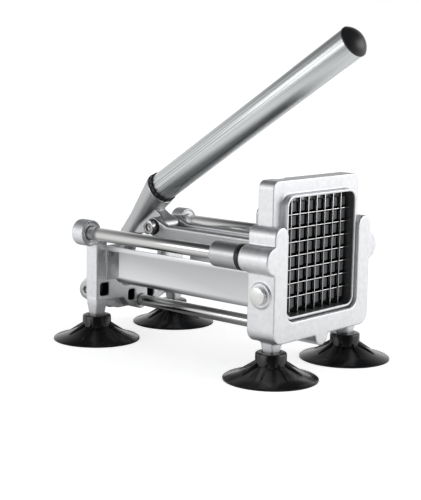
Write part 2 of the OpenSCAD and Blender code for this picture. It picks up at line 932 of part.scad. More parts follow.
module link() {
    inner = link_half_w - link_rib;
    root = 13;
    color([0.76, 0.76, 0.77])
        difference() {
            union() {
                at_rear_pin() {
                    along_x(0, link_len)
                        link_section();
                    along_x(root, link_len - root)
                        link_web_section();
                }
                both_sides() {
                    bar_y(inner, link_half_w, rear_pin, link_ear_r);
                    bar_y(inner, link_half_w, front_pin, fork_ear_r);
                    // the ear runs down onto the rib
                    along_y(inner + 2 * ear_proud, link_half_w - 2 * ear_proud)
                        polygon([
                            rear_pin, rear_pin + 0.97 * link_ear_r * [cos(75), sin(75)],
                            rear_pin + 0.99 * link_ear_r * [cos(50), sin(50)], rear_pin + ear_foot,
                            rear_pin + [ear_foot[0], -4]
                        ]);
                }
            }
            bar_y(-link_half_w - 1, link_half_w + 1, rear_pin, pin_r + seat);
            bar_y(-link_half_w - 1, link_half_w + 1, front_pin, pin_r + seat);
        }
}

module link_pin() {
    color([0.72, 0.72, 0.74]) {
        button_head(-link_half_w - washer_t, rear_pin, pin_head_r, pin_head_h);
        bar_y(-link_half_w - washer_t - eps, link_half_w + washer_t + nut_h + 0.6, rear_pin, pin_r);
    }
}

module link_pin_washers() {
    color([0.08, 0.08, 0.08])
        both_sides()
            difference() {
                bar_y(link_half_w, link_half_w + washer_t, rear_pin, washer_r);
                bar_y(link_half_w - 1, link_half_w + washer_t + 1, rear_pin, pin_r + seat);
            }
}

module link_pin_nut() {
    color([0.7, 0.7, 0.72])
        lock_nut(link_half_w + washer_t, rear_pin);
}

// The two headed ends of the front pin turn with the link
module link_front_pins() {
    color([0.72, 0.72, 0.74])
        both_sides() {
            bar_y(link_half_w - link_rib, link_half_w + eps, front_pin, pin_r);
            bar_y(link_half_w, link_half_w + 2.4, front_pin, pin_head_r);
        }
}

// ---------- pusher ----------

module pusher_carriage() {
    rim = 2.5;
    rim_out = 2;
    plate_z = 2 * plate_half;
    arm_root = plate_half - 5;
    color([0.74, 0.74, 0.75])
        difference() {
            union() {
                along_x(plate_rear, block_rear)
                    translate([0, axis_z])
                        round_rect(2 * plate_half, plate_z, 5);
                along_x(plate_rear - rim_out, plate_rear + eps)
                    translate([0, axis_z])
                        difference() {
                            round_rect(2 * plate_half, plate_z, 5);
                            round_rect(2 * (plate_half - rim), plate_z - 2 * rim, 3);
                        }
                both_sides() {
                    bar_x(sleeve_rear, sleeve_front, rod_y, axis_z, sleeve_r);
                    // arm from the plate to the sleeve, seen from above
                    translate([0, 0, axis_z - arm_h / 2])
                        linear_extrude(arm_h)
                            polygon([
                                [block_rear, arm_root], [block_rear, rod_y - bush_r],
                                [sleeve_rear + 4, rod_y - bush_r], [sleeve_rear + 4, rod_y - sleeve_r + 1],
                                [plate_rear - 4, arm_root + 1], [plate_rear, arm_root]
                            ]);
                }
                // lug for the link
                bar_y(-lug_half_w, lug_half_w, front_pin, fork_ear_r);
                along_y(-lug_half_w, lug_half_w)
                    translate([front_pin[0], front_pin[1] - fork_ear_r])
                        square([plate_rear - front_pin[0] + eps, 2 * fork_ear_r]);
                // upright rib behind the plate
                along_y(-3, 3)
                    polygon([
                        [plate_rear + eps, axis_z - plate_half + 3], [plate_rear + eps, axis_z + plate_half - 3],
                        [plate_rear - 3, axis_z + plate_half - 3], [front_pin[0] + 3, axis_z],
                        [plate_rear - 3, axis_z - plate_half + 3]
                    ]);
            }
            both_sides()
                bar_x(sleeve_rear - 1, sleeve_front + 1, rod_y, axis_z, bush_r + seat);
            bar_y(-lug_half_w - 1, lug_half_w + 1, front_pin, pin_r + seat);
            for (y = [-block_screw_y, block_screw_y], z = [-block_screw_z, block_screw_z])
                bar_x(plate_rear - 1, block_rear + 1, y, axis_z + z, block_screw_r + seat);
        }
}

module slide_bushes() {
    color([0.15, 0.15, 0.15])
        both_sides()
            for (x = [sleeve_rear, sleeve_front - bush_len])
                difference() {
                    bar_x(x, x + bush_len, rod_y, axis_z, bush_r);
                    bar_x(x - 1, x + bush_len + 1, rod_y, axis_z, guide_r + fit);
                }
}

module lug_pin() {
    color([0.72, 0.72, 0.74])
        bar_y(-lug_half_w + 0.05, lug_half_w - 0.05, front_pin, pin_r);
}

// A finger's root outline: a square with its corners cut off
module finger_section() {
    h = finger_w / 2;
    cut = finger_w * 0.16;
    polygon([
        [-h + cut, -h], [h - cut, -h], [h, -h + cut], [h, h - cut],
        [h - cut, h], [-h + cut, h], [-h, h - cut], [-h, -h + cut]
    ]);
}

module finger_block() {
    first = -(cells - 1) * blade_pitch / 2;
    color([0.10, 0.10, 0.10])
        difference() {
            union() {
                along_x(block_rear, block_front)
                    translate([0, axis_z])
                        round_rect(2 * block_half, 2 * block_half, 3);
                for (i = [0 : cells - 1], j = [0 : cells - 1])
                    translate([block_front - eps, first + i * blade_pitch, axis_z + first + j * blade_pitch])
                        rotate([90, 0, 90])
                            linear_extrude(finger_len + eps, scale = finger_taper)
                                finger_section();
            }
            for (y = [-block_screw_y, block_screw_y], z = [-block_screw_z, block_screw_z])
                bar_x(block_rear - 1, block_rear + block_screw_depth + 0.2, y, axis_z + z, block_screw_r + seat);
        }
}

module block_screws() {
    color([0.6, 0.6, 0.61])
        for (y = [-block_screw_y, block_screw_y], z = [-block_screw_z, block_screw_z])
            difference() {
                union() {
                    bar_x(plate_rear - 2.2, plate_rear, y, axis_z + z, 3.6);
                    bar_x(plate_rear - eps, block_rear + block_screw_depth, y, axis_z + z, block_screw_r);
                }
                translate([plate_rear - 3.2, y, axis_z + z])
                    rotate([0, 90, 0])
                        cylinder(r = 1.5, h = 2.2, $fn = 6);
            }
}

// ---------- blade cassette ----------

module window_outline(grow) {
    translate([0, axis_z])
        round_rect(2 * (window_half_w + grow), 2 * (window_half_h + grow), window_corner + grow);
}

module cassette_frame() {
    height = cassette_top - cassette_bottom;
    groove = 2.6;
    color([0.80, 0.80, 0.81])
        difference() {
            union() {
                along_x(cassette_rear, cassette_front)
                    translate([0, cassette_bottom + height / 2])
                        round_rect(2 * cassette_half, height, cassette_corner);
                along_x(cassette_front - eps, cassette_front + ring_out)
                    window_outline(ring_wall);
            }
            along_x(cassette_rear - 1, cassette_front + ring_out + 1)
                window_outline(0);
            // grooves that the blades slide into from the back
            for (i = [1 : cells - 1]) {
                at = (i - cells / 2) * blade_pitch;
                translate([cassette_rear - 1, at - blade_t / 2 - 0.05, axis_z - window_half_h - groove])
                    cube([blade_front - cassette_rear + 1.1, blade_t + 0.1, 2 * (window_half_h + groove)]);
                translate([cassette_rear - 1, -window_half_w - groove, axis_z + at - blade_t / 2 - 0.05])
                    cube([blade_front - cassette_rear + 1.1, 2 * (window_half_w + groove), blade_t + 0.1]);
            }
            // finger notch in the top edge at the back
            translate([cassette_rear - 1, -34, cassette_top - 1.5])
                cube([4, 12, 3]);
            // dimples for the detent ball
            for (side = [-1, 1])
                translate([detent_x, side * ball_y, detent_z])
                    sphere(ball_r + 0.1);
        }
}

// One blade's outline, with a half-depth notch at each crossing.
// The notches open to the back when from_back is true, and to the front otherwise.
module blade_outline(from_back, window) {
    reach = window + 2.5;
    half_depth = blade_depth / 2;
    slot = blade_t + 0.16;
    difference() {
        translate([blade_rear, -reach])
            square([blade_depth, 2 * reach]);
        for (i = [1 : cells - 1])
            translate([from_back ? blade_rear - 1 : blade_rear + half_depth - 0.05,
                       (i - cells / 2) * blade_pitch - slot / 2])
                square([half_depth + 1.05, slot]);
    }
}

module blades_upright() {
    color([0.9, 0.9, 0.92])
        for (i = [1 : cells - 1])
            translate([0, (i - cells / 2) * blade_pitch + blade_t / 2, axis_z])
                rotate([90, 0, 0])
                    linear_extrude(blade_t)
                        blade_outline(true, window_half_h);
}

module blades_level() {
    color([0.9, 0.9, 0.92])
        for (i = [1 : cells - 1])
            translate([0, 0, axis_z + (i - cells / 2) * blade_pitch - blade_t / 2])
                linear_extrude(blade_t)
                    blade_outline(false, window_half_w);
}

// ---------- the nodes ----------

front_frame();
rear_frame();
guide_rod_near();
guide_rod_far();
tie_rod();
rod_end_screws();
bumper_ring_near();
bumper_ring_far();
tray();
tray_screws();
suction_cup_front_near();
suction_cup_front_far();
suction_cup_rear_near();
suction_cup_rear_far();
cup_studs();
pivot_bolt();
pivot_nut();
detent_plug();
detent_spring();
detent_ball();
lever_arm();
pivot_bushes();
handle_tube();
handle_collar();
handle_cap();
link();
link_pin();
link_pin_washers();
link_pin_nut();
link_front_pins();
pusher_carriage();
slide_bushes();
lug_pin();
finger_block();
block_screws();
cassette_frame();
blades_upright();
blades_level();
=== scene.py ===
from math import hypot, pi, radians

import bmesh
import bpy
from mathutils import Matrix, Vector


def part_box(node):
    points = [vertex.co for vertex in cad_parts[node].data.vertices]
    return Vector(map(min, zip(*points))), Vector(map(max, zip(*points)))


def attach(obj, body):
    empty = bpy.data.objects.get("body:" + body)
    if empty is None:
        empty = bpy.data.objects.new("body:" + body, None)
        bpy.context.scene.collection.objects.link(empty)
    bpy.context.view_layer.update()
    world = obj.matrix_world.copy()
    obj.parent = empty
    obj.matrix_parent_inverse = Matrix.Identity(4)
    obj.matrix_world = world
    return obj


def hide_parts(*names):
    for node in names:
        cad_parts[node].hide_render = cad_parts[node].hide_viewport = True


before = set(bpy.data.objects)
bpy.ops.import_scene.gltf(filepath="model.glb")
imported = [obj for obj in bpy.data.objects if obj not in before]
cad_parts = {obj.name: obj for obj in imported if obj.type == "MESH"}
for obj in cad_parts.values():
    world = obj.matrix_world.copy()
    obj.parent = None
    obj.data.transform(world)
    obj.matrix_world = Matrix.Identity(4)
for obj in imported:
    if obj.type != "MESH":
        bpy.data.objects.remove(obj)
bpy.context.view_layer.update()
MM = 0.001

# -----------------------------------------------------------------------------------------------
# The studio: a pale table, a white backdrop and two soft boxes, one at the left and one in front.
# What bare metal mirrors is set apart from them, because it shapes the metal more than the lamps
# do. The camera stands at the near front corner, a little above the cutter.
# -----------------------------------------------------------------------------------------------
bpy.context.scene.view_settings.view_transform = "Standard"
camera = bpy.data.objects.new("camera", bpy.data.cameras.new("camera"))
bpy.context.scene.collection.objects.link(camera)
bpy.context.scene.camera = camera
camera_place = (0.59893, -0.69114, 0.21992)
camera_turn, camera_down, camera_roll = radians(41.31), radians(9.05), radians(0.98)
camera.matrix_world = (
    Matrix.Translation(camera_place)
    @ Matrix.Rotation(camera_turn, 4, "Z")
    @ Matrix.Rotation(pi / 2 - camera_down, 4, "X")
    @ Matrix.Rotation(camera_roll, 4, "Z")
)
camera.data.sensor_width = 36
camera.data.lens = 89.5
camera.data.clip_start, camera.data.clip_end = 0.02, 20


def linear(srgb):
    """A hex colour, such as "#d9d9da", as linear red, green, blue and alpha."""
    shares = [int(srgb[i : i + 2], 16) / 255 for i in (1, 3, 5)]
    return [c / 12.92 if c <= 0.04045 else ((c + 0.055) / 1.055) ** 2.4 for c in shares] + [1]


def add(tree, kind, settings=None, **links):
    """Adds a node to a tree. Settings name or number its sockets, or name its properties, and a
    ramp's stops are pairs of a place and a hex colour. Links name its inputs, or say at0, at1."""
    made = tree.nodes.new(kind)
    for key, value in (settings or {}).items():
        if key == "stops":
            for stop, (position, colour) in zip(made.color_ramp.elements, value):
                stop.position, stop.color = position, linear(colour)
        elif isinstance(key, int) or key in made.inputs:
            made.inputs[key].default_value = value
        else:
            setattr(made, key, value)
    for key, source in links.items():
        name = key.replace("_", " ")
        socket = made.inputs[int(key[2:])] if key.startswith("at") else made.inputs[name]
        tree.links.new(source, socket)
    return made


def by_ray(tree, kinds, plain, shown):
    """Mixes two shaders: shown is for the named kinds of ray, and plain for all others."""
    rays = add(tree, "ShaderNodeLightPath")
    seen = rays.outputs[kinds[0]]
    for kind in kinds[1:]:
        either = add(tree, "ShaderNodeMath", {"operation": "MAXIMUM"},
                     at0=seen, at1=rays.outputs[kind])
        seen = either.outputs[0]
    return add(tree, "ShaderNodeMixShader", at0=seen, at1=plain, at2=shown).outputs[0]


world = bpy.data.worlds.new("studio")
bpy.context.scene.world = world
world.use_nodes = True
around = world.node_tree
around.nodes.clear()
air = add(around, "ShaderNodeBackground", {"Color": linear("#f4f5f6"), "Strength": 0.42})
white = add(around, "ShaderNodeBackground", {"Color": linear("#ffffff"), "Strength": 1.0})
# Metal mirrors the white backdrop up to eye level, a darker ceiling above it, and the dark end of
# the studio, which is on the side that the near front corner faces
dark_end = (0.66, -0.75, 0)
sky = add(around, "ShaderNodeTexCoord").outputs["Generated"]
height = add(around, "ShaderNodeSeparateXYZ", Vector=sky)
ceiling = add(around, "ShaderNodeValToRGB", {"stops": [(0.14, "#ffffff"), (0.75, "#47494c")]},
              Fac=height.outputs["Z"])
facing_end = add(around, "ShaderNodeVectorMath", {"operation": "DOT_PRODUCT", 1: dark_end},
                 at0=sky)
end_wall = add(around, "ShaderNodeValToRGB", {"stops": [(0.45, "#ffffff"), (0.85, "#404144")]},
               Fac=facing_end.outputs["Value"])
walls = add(around, "ShaderNodeVectorMath", {"operation": "MULTIPLY"},
            at0=ceiling.outputs["Color"], at1=end_wall.outputs["Color"])
room = add(around, "ShaderNodeBackground", {"Strength": 1.0}, Color=walls.outputs["Vector"])
shown = by_ray(around, ["Is Glossy Ray"], air.outputs[0], room.outputs[0])
shown = by_ray(around, ["Is Camera Ray", "Is Transmission Ray"], shown, white.outputs[0])
add(around, "ShaderNodeOutputWorld", Surface=shown)


def lamp(name, place, size, watts):
    """A soft box at a place, turned to the middle of the cutter."""
    box = bpy.data.objects.new(name, bpy.data.lights.new(name, "AREA"))
    box.data.shape = "RECTANGLE"
    box.data.size, box.data.size_y = size
    box.data.energy = watts
    box.location = place
    box.rotation_euler = (cutter_middle - Vector(place)).to_track_quat("-Z", "Y").to_euler()
    bpy.context.scene.collection.objects.link(box)


cutter_middle = Vector((0, 0, 0.09))
lamp("soft_box_left", (-0.35, -1.30, 0.42), size=(1.3, 0.6), watts=4.5)
lamp("soft_box_front", (1.00, 0.75, 0.50), size=(1.1, 0.7), watts=5)


def new_material(name):
    """A node material with nothing in it yet."""
    made = bpy.data.materials.new(name)
    made.use_nodes = True
    made.node_tree.nodes.clear()
    return made


def pale_paper():
    """White paper on a table. It glows a little to the eye, more and more far off, so that it runs
    into the backdrop and still holds the cutter's shadow."""
    made = new_material("pale_table")
    tree = made.node_tree
    paper = add(tree, "ShaderNodeBsdfDiffuse", {"Color": linear("#f4f4f4")})
    spot = add(tree, "ShaderNodeTexCoord").outputs["Object"]
    reach = add(tree, "ShaderNodeVectorMath", {"operation": "LENGTH"}, at0=spot)
    whiter = add(tree, "ShaderNodeMapRange",
                 {"From Min": 0.3, "From Max": 2.0, "To Min": 0.62, "To Max": 1.0},
                 Value=reach.outputs["Value"])
    glow = add(tree, "ShaderNodeEmission", {"Color": linear("#ffffff")},
               Strength=whiter.outputs["Result"])
    glowing = add(tree, "ShaderNodeAddShader", at0=paper.outputs[0], at1=glow.outputs[0])
    # metal mirrors it white far off, with a painted shadow under the cutter, which is longer than
    # it is wide, and painted shade towards the dark end
    length_share, set_back = (0.6, 1, 1), (0.04, 0, 0)
    footprint = add(tree, "ShaderNodeVectorMath",
                    {"operation": "MULTIPLY_ADD", 1: length_share, 2: set_back}, at0=spot)
    beside = add(tree, "ShaderNodeVectorMath", {"operation": "LENGTH"},
                 at0=footprint.outputs["Vector"])
    under = add(tree, "ShaderNodeMapRange",
                {"From Min": 0.03, "From Max": 0.18, "To Min": 0.14, "To Max": 1.0},
                Value=beside.outputs["Value"])
    towards_end = add(tree, "ShaderNodeVectorMath", {"operation": "DOT_PRODUCT", 1: dark_end},
                      at0=spot)
    shade = add(tree, "ShaderNodeMapRange",
                {"From Min": 0.20, "From Max": 0.55, "To Min": 1.0, "To Max": 0.3},
                Value=towards_end.outputs["Value"])
    level = add(tree, "ShaderNodeMath", {"operation": "MULTIPLY"},
                at0=under.outputs["Result"], at1=shade.outputs["Result"])
    mirrored_painted_shadow = add(tree, "ShaderNodeEmission", {"Color": linear("#ffffff")},
                   Strength=level.outputs["Value"])
    seen = by_ray(tree, ["Is Glossy Ray"], paper.outputs[0], mirrored_painted_shadow.outputs[0])
    seen = by_ray(tree, ["Is Camera Ray", "Is Transmission Ray"], seen, glowing.outputs[0])
    add(tree, "ShaderNodeOutputMaterial", Surface=seen)
    return made


bpy.ops.mesh.primitive_plane_add(size=30, location=(0, 0, 0))
table = bpy.context.object
table.name = "table_top"
table.data.materials.append(pale_paper())

# -----------------------------------------------------------------------------------------------
# Front frame: one aluminium casting with two hollow arms and two legs. It comes from the die with
# round edges and a fine grain, and is tumbled with small beads, which leaves it pale and satin.
# -----------------------------------------------------------------------------------------------


def cast_aluminium(name, dark, light, roughness):
    """Die-cast aluminium. Blasted with beads it is pale and softly glossy, with a grain that the
    eye just sees. In recesses it is dull as cast, and its darker grey there is painted shade."""
    made = new_material(name)
    tree = made.node_tree
    grit = 1.1 * MM  # the beads' marks are about 0.2 mm, and they are drawn coarser to show
    cloud = 3.5 * MM
    place = add(tree, "ShaderNodeTexCoord").outputs["Object"]
    tone = add(tree, "ShaderNodeTexNoise", {"Scale": 1 / cloud, "Detail": 3.0}, Vector=place)
    colour = add(tree, "ShaderNodeValToRGB", {"stops": [(0.30, dark), (0.70, light)]},
                 Fac=tone.outputs["Fac"])
    beads = add(tree, "ShaderNodeTexNoise", {"Scale": 1 / grit, "Detail": 2.0}, Vector=place)
    bump = add(tree, "ShaderNodeBump", {"Strength": 0.60, "Distance": 0.15 * MM},
               Height=beads.outputs["Fac"])
    gloss = add(tree, "ShaderNodeMapRange", {"To Min": roughness, "To Max": roughness + 0.1},
                Value=tone.outputs["Fac"])
    skin = add(tree, "ShaderNodeBsdfPrincipled", {"Metallic": 1.0},
               Base_Color=colour.outputs["Color"], Roughness=gloss.outputs["Result"],
               Normal=bump.outputs["Normal"])
    add(tree, "ShaderNodeOutputMaterial", Surface=skin.outputs[0])
    return made


def copy_of(node, name):
    """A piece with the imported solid's own faces, joined along their edges."""
    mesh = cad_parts[node].data.copy()
    mesh.materials.clear()
    piece = bpy.data.objects.new(name, mesh)
    bpy.context.scene.collection.objects.link(piece)
    weld = bmesh.new()
    weld.from_mesh(mesh)
    bmesh.ops.remove_doubles(weld, verts=weld.verts, dist=0.002 * MM)
    weld.to_mesh(mesh)
    weld.free()
    return piece


def settle(piece):
    """Applies the piece's modifiers to its mesh, and shades it smooth."""
    bpy.context.view_layer.update()
    built = piece.evaluated_get(bpy.context.evaluated_depsgraph_get())
    shaped = bpy.data.meshes.new_from_object(built)
    piece.modifiers.clear()
    piece.data = shaped
    for face in shaped.polygons:
        face.use_smooth = True


def seat_of(node):
    """The line down the middle of a round pin or rod, and the radius of the seat round it."""
    low, high = (Vector(c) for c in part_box(node))
    size = high - low
    along = max(range(3), key=lambda i: size[i])
    start, end = (low + high) / 2, (low + high) / 2
    start[along], end[along] = low[along], high[along]
    across = min(size[i] for i in range(3) if i != along)
    return start, end, across / 2 + seat_width


def near_seat(point, seats):
    """True where a point lies in the ring round one of the seats."""
    for start, end, radius in seats:
        line = end - start
        share = min(1, max(0, (point - start).dot(line) / line.length_squared))
        if (point - start - line * share).length < radius:
            return True
    return False


def casting(node, name, grain, rounds, seats=()):
    """The solid's shape with a casting's round edges: a skin of fine grain that is smoothed a few
    rounds. The machined seats for rods and pins keep their edges."""
    piece = copy_of(node, name)
    skin = piece.modifiers.new("skin", "REMESH")
    skin.mode = "VOXEL"
    skin.voxel_size = grain
    settle(piece)
    cast_skin = piece.vertex_groups.new(name="cast_skin")
    unmachined = [v.index for v in piece.data.vertices if not near_seat(v.co, seats)]
    cast_skin.add(unmachined, 1, "REPLACE")
    smooth = piece.modifiers.new("round", "SMOOTH")
    smooth.factor = 0.5
    smooth.iterations = rounds
    smooth.vertex_group = "cast_skin"
    settle(piece)
    piece.vertex_groups.clear()
    return piece


def fit_out(piece, body, node, material):
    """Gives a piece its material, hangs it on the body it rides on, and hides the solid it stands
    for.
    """
    piece.data.materials.clear()
    piece.data.materials.append(material)
    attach(piece, body)
    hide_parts(node)


seat_width = 1.0 * MM
rod_seats = [seat_of(rod) for rod in ("guide_rod_near", "guide_rod_far", "tie_rod")]
front_frame = casting("front_frame", "front_frame_casting",
                      grain=0.6 * MM, rounds=6, seats=rod_seats)
blasted = cast_aluminium("cast_aluminium_blasted", "#dedfe1", "#e9eaec", 0.44)
fit_out(front_frame, "frame", "front_frame", blasted)

# -----------------------------------------------------------------------------------------------
# Rear frame: the same alloy and finish. Its cross bar keeps the core pockets of the casting, and
# two lugs on its back carry the lever.
# -----------------------------------------------------------------------------------------------
rear_frame = casting("rear_frame", "rear_frame_casting",
                     grain=0.55 * MM, rounds=5, seats=rod_seats + [seat_of("pivot_bolt")])
fit_out(rear_frame, "frame", "rear_frame", blasted)
bar_face, pocket_lip, pocket_depth = -80.6 * MM, 0.9 * MM, 8.5 * MM
# the middle of each pocket across and up, its width and its height, the same on both sides
core_pockets = [
    (40.0 * MM, 38.6 * MM, 9.6 * MM, 10.0 * MM),
    (10.6 * MM, 30.6 * MM, 7.6 * MM, 8.6 * MM),
]


def in_pocket(point):
    """Inside one of the four core pockets in the bar's front face."""
    if not bar_face - pocket_depth < point.x < bar_face - pocket_lip:
        return False
    slack = 0.3 * MM
    return any(abs(abs(point.y) - y) < wide / 2 + slack and abs(point.z - z) < high / 2 + slack
               for y, z, wide, high in core_pockets)


def shade_recess(piece, material, inside):
    """Gives the faces that lie inside a recess a darker material of their own: painted shade."""
    piece.data.materials.append(material)
    shade_lining = len(piece.data.materials) - 1
    for face in piece.data.polygons:
        if inside(face.center):
            face.material_index = shade_lining


# the pockets' faces are painted a near-black grey: painted shade in their depth, on a dull as-cast
# finish
as_cast_and_shade = cast_aluminium("cast_aluminium_as_cast_and_shade", "#4c4d4e", "#5c5d5e", 0.55)
shade_recess(rear_frame, as_cast_and_shade, in_pocket)

# -----------------------------------------------------------------------------------------------
# Guide rods and tie rod: drawn steel, ground and chrome-plated, screwed between the two frames.
# They mirror the room, so they show a white band between dark edges.
# -----------------------------------------------------------------------------------------------


def plated_steel():
    """Bright chrome plate over ground steel, with the faint rings that grinding leaves."""
    made = new_material("plated_ground_steel")
    tree = made.node_tree
    ring = 0.6 * MM  # grinding leaves rings of under 0.1 mm, and they are drawn wider to show
    patch = 250 * MM
    place = add(tree, "ShaderNodeTexCoord").outputs["Object"]
    along = add(tree, "ShaderNodeMapping", {"Scale": (1 / ring, 1 / patch, 1 / patch)},
                Vector=place)
    rings = add(tree, "ShaderNodeTexNoise", {"Scale": 1.0, "Detail": 1.0}, Vector=along.outputs[0])
    gloss = add(tree, "ShaderNodeMapRange", {"To Min": 0.13, "To Max": 0.22},
                Value=rings.outputs["Fac"])
    skin = add(tree, "ShaderNodeBsdfPrincipled",
               {"Base Color": linear("#cfcfce"), "Metallic": 1.0},
               Roughness=gloss.outputs["Result"])
    add(tree, "ShaderNodeOutputMaterial", Surface=skin.outputs[0])
    return made


def mark_edges(piece, steepest):
    """Shades a piece smooth except across edges that turn by more than the steepest angle."""
    marks = bmesh.new()
    marks.from_mesh(piece.data)
    for edge in marks.edges:
        edge.smooth = len(edge.link_faces) == 2 and edge.calc_face_angle(pi) <= steepest
    marks.to_mesh(piece.data)
    marks.free()


def round_edges(piece, edge, segments=2):
    """Joins a piece's flat faces and gives each sharp edge a small round."""
    flat = piece.modifiers.new("flat", "DECIMATE")
    flat.decimate_type = "DISSOLVE"
    flat.angle_limit = radians(1)
    bevel = piece.modifiers.new("edge", "BEVEL")
    bevel.width = edge
    bevel.segments = segments
    bevel.limit_method = "ANGLE"
    bevel.angle_limit = radians(35)
    bevel.harden_normals = False
    settle(piece)
    mark_edges(piece, radians(40))


def turned(node, name, edge):
    """The solid's own faces with a small round on each sharp edge."""
    piece = copy_of(node, name)
    round_edges(piece, edge)
    return piece


chrome = plated_steel()
for node in ("guide_rod_near", "guide_rod_far", "tie_rod"):
    rod = turned(node, node + "_plated", edge=0.5 * MM)
    fit_out(rod, "frame", node, chrome)

# -----------------------------------------------------------------------------------------------
# Screws, studs, bolts, nuts and pins: turned steel with headed ends and sockets, zinc-plated. The
# detent's plug, which shows in the near arm's side, is nickel-plated, and its ball and spring lie
# behind it inside the arm.
# -----------------------------------------------------------------------------------------------


def plate_on_steel(name, colour, roughness):
    """Electroplate on turned steel. Zinc is a little greyer and duller than the rods' chrome, and
    nickel is paler. Small clouds in the gloss are what handling leaves."""
    made = new_material(name)
    tree = made.node_tree
    cloud = 1.5 * MM
    place = add(tree, "ShaderNodeTexCoord").outputs["Object"]
    tone = add(tree, "ShaderNodeTexNoise", {"Scale": 1 / cloud, "Detail": 2.0}, Vector=place)
    gloss = add(tree, "ShaderNodeMapRange", {"To Min": roughness, "To Max": roughness + 0.12},
                Value=tone.outputs["Fac"])
    skin = add(tree, "ShaderNodeBsdfPrincipled", {"Base Color": linear(colour), "Metallic": 1.0},
               Roughness=gloss.outputs["Result"])
    add(tree, "ShaderNodeOutputMaterial", Surface=skin.outputs[0])
    return made


zinc = plate_on_steel("zinc_plated_steel", "#bdbdbd", 0.22)
nickel = plate_on_steel("nickel_plated_steel", "#dededd", 0.30)
fasteners = {
    "rod_end_screws": "frame", "tray_screws": "frame", "cup_studs": "frame",
    "pivot_bolt": "frame", "pivot_nut": "frame", "detent_plug": "frame",
    "link_pin": "link", "link_pin_nut": "link", "link_front_pins": "link",
    "lug_pin": "pusher", "block_screws": "pusher",
}
for node, body in fasteners.items():
    fastener = turned(node, node + "_plated", edge=0.25 * MM)
    fit_out(fastener, body, node, nickel if node == "detent_plug" else zinc)
for node in ("detent_spring", "detent_ball"):
    rounded = copy_of(node, node + "_bright")
    for face in rounded.data.polygons:
        face.use_smooth = True
    fit_out(rounded, "frame", node, zinc)

# -----------------------------------------------------------------------------------------------
# Tray: a trough folded from one strip of stainless sheet, brushed along its length, with a hem
# folded down along each wall and ears that are screwed to the frames.
# -----------------------------------------------------------------------------------------------


def brushed_sheet():
    """Stainless sheet with a fine brush along the tray: pale grey, with long faint lines."""
    made = new_material("brushed_stainless_sheet")
    tree = made.node_tree
    line = 0.35 * MM  # the brush leaves lines of about 0.1 mm, and they are drawn wider to show
    run = 40 * MM
    place = add(tree, "ShaderNodeTexCoord").outputs["Object"]
    along = add(tree, "ShaderNodeMapping", {"Scale": (1 / run, 1 / line, 1 / line)}, Vector=place)
    lines = add(tree, "ShaderNodeTexNoise", {"Scale": 1.0, "Detail": 2.0}, Vector=along.outputs[0])
    gloss = add(tree, "ShaderNodeMapRange", {"To Min": 0.30, "To Max": 0.42},
                Value=lines.outputs["Fac"])
    bump = add(tree, "ShaderNodeBump", {"Strength": 0.06, "Distance": 0.05 * MM},
               Height=lines.outputs["Fac"])
    skin = add(tree, "ShaderNodeBsdfPrincipled",
               {"Base Color": linear("#e2e3e5"), "Metallic": 1.0},
               Roughness=gloss.outputs["Result"], Normal=bump.outputs["Normal"])
    add(tree, "ShaderNodeOutputMaterial", Surface=skin.outputs[0])
    return made


tray = turned("tray", "tray_folded_sheet", edge=0.2 * MM)
fit_out(tray, "frame", "tray", brushed_sheet())

# -----------------------------------------------------------------------------------------------
# Bumper rings: black nylon rings pushed onto the rods, which the sleeves stop on. The washers of
# the link's pin and the plain bushes in the sleeves are moulded from the same nylon.
# -----------------------------------------------------------------------------------------------


def black_moulding(name, roughness, colour="#0e0e0f"):
    """Black moulded plastic or rubber: a soft gloss and a slight unevenness from the mould."""
    made = new_material(name)
    tree = made.node_tree
    wave = 3 * MM
    place = add(tree, "ShaderNodeTexCoord").outputs["Object"]
    tone = add(tree, "ShaderNodeTexNoise", {"Scale": 1 / wave, "Detail": 2.0}, Vector=place)
    gloss = add(tree, "ShaderNodeMapRange",
                {"To Min": roughness - 0.04, "To Max": roughness + 0.06},
                Value=tone.outputs["Fac"])
    bump = add(tree, "ShaderNodeBump", {"Strength": 0.05, "Distance": 0.1 * MM},
               Height=tone.outputs["Fac"])
    skin = add(tree, "ShaderNodeBsdfPrincipled", {"Base Color": linear(colour), "IOR": 1.5},
               Roughness=gloss.outputs["Result"], Normal=bump.outputs["Normal"])
    add(tree, "ShaderNodeOutputMaterial", Surface=skin.outputs[0])
    return made


nylon = black_moulding("black_nylon_moulded", 0.38)
nylon_rings = {"bumper_ring_near": "frame", "bumper_ring_far": "frame",
               "link_pin_washers": "link", "slide_bushes": "pusher"}
for node, body in nylon_rings.items():
    ring = turned(node, node + "_moulded", edge=0.3 * MM)
    fit_out(ring, body, node, nylon)

# -----------------------------------------------------------------------------------------------
# Suction cups: soft black PVC, moulded with a collar, a thin skirt and gussets, and glossy as the
# polished mould leaves it. Each is pushed up onto the stud in its leg.
# -----------------------------------------------------------------------------------------------
cup_pvc = black_moulding("black_pvc_glossy", 0.19, "#0c0c0d")
for node in ("suction_cup_front_near", "suction_cup_front_far", "suction_cup_rear_near",
             "suction_cup_rear_far"):
    cup = turned(node, node + "_moulded", edge=0.35 * MM)
    fit_out(cup, "frame", node, cup_pvc)

# -----------------------------------------------------------------------------------------------
# Lever arm: a bent aluminium casting, ground and polished before assembly, so it mirrors more
# than the frames do. Its two flanged bushes turn on the pivot bolt.
# -----------------------------------------------------------------------------------------------


